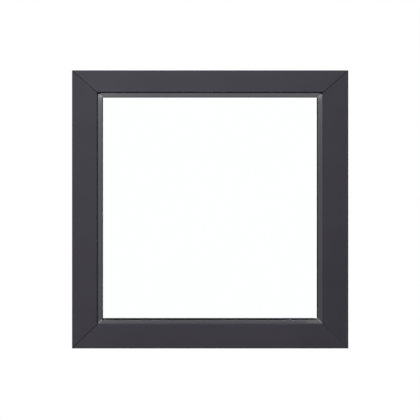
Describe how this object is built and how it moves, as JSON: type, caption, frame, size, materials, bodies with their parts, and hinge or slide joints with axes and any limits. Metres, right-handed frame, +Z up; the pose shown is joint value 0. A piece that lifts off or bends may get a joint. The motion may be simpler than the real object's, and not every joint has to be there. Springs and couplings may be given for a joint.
{
  "type": "fixed picture window",
  "caption": "Fixed square picture window: mitred anthracite aluminium frame with a thermal break, lighter clip-in glazing beads and a clear double-glazed unit.",
  "frame": {"origin": "middle of the sill's underside, half way through the frame's depth", "axes": "+X to the right seen from the room, +Y from the room to the weather side, +Z up"},
  "size_m": [0.6, 0.07, 0.604],
  "materials": {
    "frame_coat": "satin",
    "bead_coat": "satin",
    "thermal_break": "matte",
    "gasket": "matte",
    "glass": "polished",
    "spacer": "satin",
    "edge_seal": "matte",
    "setting_block": "matte"
  },
  "bodies": {
    "root": {"inside_frame_left_jamb": "frame_coat", "inside_frame_head": "frame_coat", "inside_frame_right_jamb": "frame_coat", "inside_frame_sill": "frame_coat", "outside_frame_left_jamb": "frame_coat", "outside_frame_head": "frame_coat", "outside_frame_right_jamb": "frame_coat", "outside_frame_sill": "frame_coat", "thermal_break_left_jamb": "thermal_break", "thermal_break_head": "thermal_break", "thermal_break_right_jamb": "thermal_break", "thermal_break_sill": "thermal_break", "glazing_bead_left_jamb": "bead_coat", "glazing_bead_head": "bead_coat", "glazing_bead_right_jamb": "bead_coat", "glazing_bead_sill": "bead_coat", "inner_gasket_left_jamb": "gasket", "inner_gasket_head": "gasket", "inner_gasket_right_jamb": "gasket", "inner_gasket_sill": "gasket", "outer_gasket_left_jamb": "gasket", "outer_gasket_head": "gasket", "outer_gasket_right_jamb": "gasket", "outer_gasket_sill": "gasket", "spacer_bar_left_jamb": "spacer", "spacer_bar_head": "spacer", "spacer_bar_right_jamb": "spacer", "spacer_bar_sill": "spacer", "edge_seal_left_jamb": "edge_seal", "edge_seal_head": "edge_seal", "edge_seal_right_jamb": "edge_seal", "edge_seal_sill": "edge_seal", "inner_pane": "glass", "outer_pane": "glass", "setting_block_left": "setting_block", "setting_block_right": "setting_block"}
  },
  "joints": []
}
